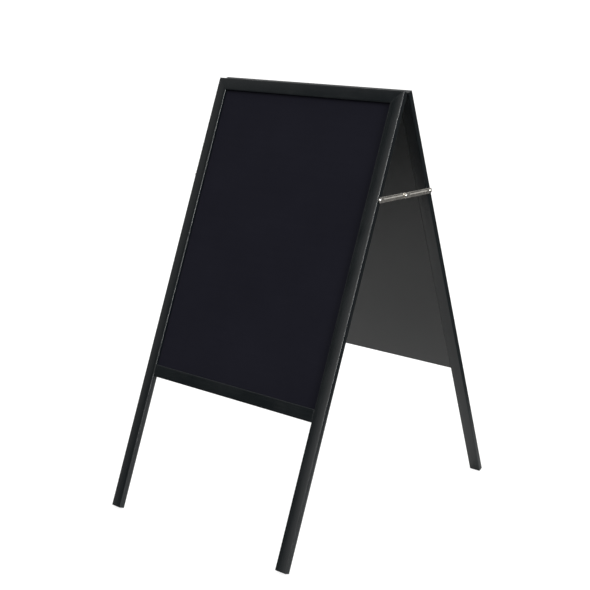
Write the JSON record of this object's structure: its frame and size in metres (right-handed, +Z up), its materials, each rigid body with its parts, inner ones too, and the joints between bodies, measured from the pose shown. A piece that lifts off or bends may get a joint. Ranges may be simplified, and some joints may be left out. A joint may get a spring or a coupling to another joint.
{
  "type": "sandwich board",
  "caption": "Folding A-frame pavement sign: black framed panels hinged along the top and held open by a folding stay on each side.",
  "frame": {"origin": "on the pavement, at the middle of the open sign's footprint", "axes": "+X across the boards to the right seen from the front, -Y toward the front board's viewer, +Z up; the hinge runs along X"},
  "size_m": [0.6154, 0.8724, 1.0975],
  "materials": {
    "frame_lacquer": "satin black lacquer, grain filled",
    "sign_panel": "very matt blue-black board paint on fibreboard, smooth black back",
    "stay_zinc": "zinc plated, slightly dull",
    "rivet_steel": "zinc plated",
    "screw_zinc": "zinc plated",
    "hinge_steel": "bright zinc",
    "dowel_wood": "bare beech"
  },
  "bodies": {
    "front_frame": {"front_left_stile": "frame_lacquer", "front_right_stile": "frame_lacquer", "front_top_rail": "frame_lacquer", "front_bottom_rail": "frame_lacquer", "front_panel": "sign_panel", "front_mitre_dowels": "dowel_wood", "front_hinge_leaves": "hinge_steel", "front_hinge_screws": "screw_zinc", "front_stay_screws": "screw_zinc", "front_stay_washers": "screw_zinc", "hinge_pins": "hinge_steel"},
    "rear_frame": {"rear_left_stile": "frame_lacquer", "rear_right_stile": "frame_lacquer", "rear_top_rail": "frame_lacquer", "rear_bottom_rail": "frame_lacquer", "rear_panel": "sign_panel", "rear_mitre_dowels": "dowel_wood", "rear_hinge_leaves": "hinge_steel", "rear_hinge_screws": "screw_zinc", "rear_stay_screws": "screw_zinc", "rear_stay_spacers": "screw_zinc"},
    "right_front_link": {"right_stay_front_link": "stay_zinc", "right_stay_rivet_tail": "rivet_steel"},
    "right_rear_link": {"right_stay_rear_link": "stay_zinc", "right_stay_rivet_head": "rivet_steel"},
    "left_front_link": {"left_stay_front_link": "stay_zinc", "left_stay_rivet_tail": "rivet_steel"},
    "left_rear_link": {"left_stay_rear_link": "stay_zinc", "left_stay_rivet_head": "rivet_steel"}
  },
  "joints": [
    {"name": "fold", "type": "hinge", "parent": "front_frame", "child": "rear_frame", "pos_m": [0, 0, 1.09325], "axis": [-1, 0, 0], "range_deg": [0, 42]},
    {"name": "right_front_link_turn", "type": "hinge", "parent": "front_frame", "child": "right_front_link", "pos_m": [0.3, -0.1029, 0.84611], "axis": [1, 0, 0], "range_deg": [0, 65]},
    {"name": "right_rear_link_turn", "type": "hinge", "parent": "rear_frame", "child": "right_rear_link", "pos_m": [0.3, 0.1029, 0.84611], "axis": [-1, 0, 0], "range_deg": [0, 65]},
    {"name": "left_front_link_turn", "type": "hinge", "parent": "front_frame", "child": "left_front_link", "pos_m": [-0.3, -0.1029, 0.84611], "axis": [1, 0, 0], "range_deg": [0, 65]},
    {"name": "left_rear_link_turn", "type": "hinge", "parent": "rear_frame", "child": "left_rear_link", "pos_m": [-0.3, 0.1029, 0.84611], "axis": [-1, 0, 0], "range_deg": [0, 65]}
  ],
  "couplings": [
    {"joint": "right_front_link_turn", "follows": "fold", "ratio": 1.5433},
    {"joint": "right_rear_link_turn", "follows": "fold", "ratio": 1.5433},
    {"joint": "left_front_link_turn", "follows": "fold", "ratio": 1.5433},
    {"joint": "left_rear_link_turn", "follows": "fold", "ratio": 1.5433}
  ]
}
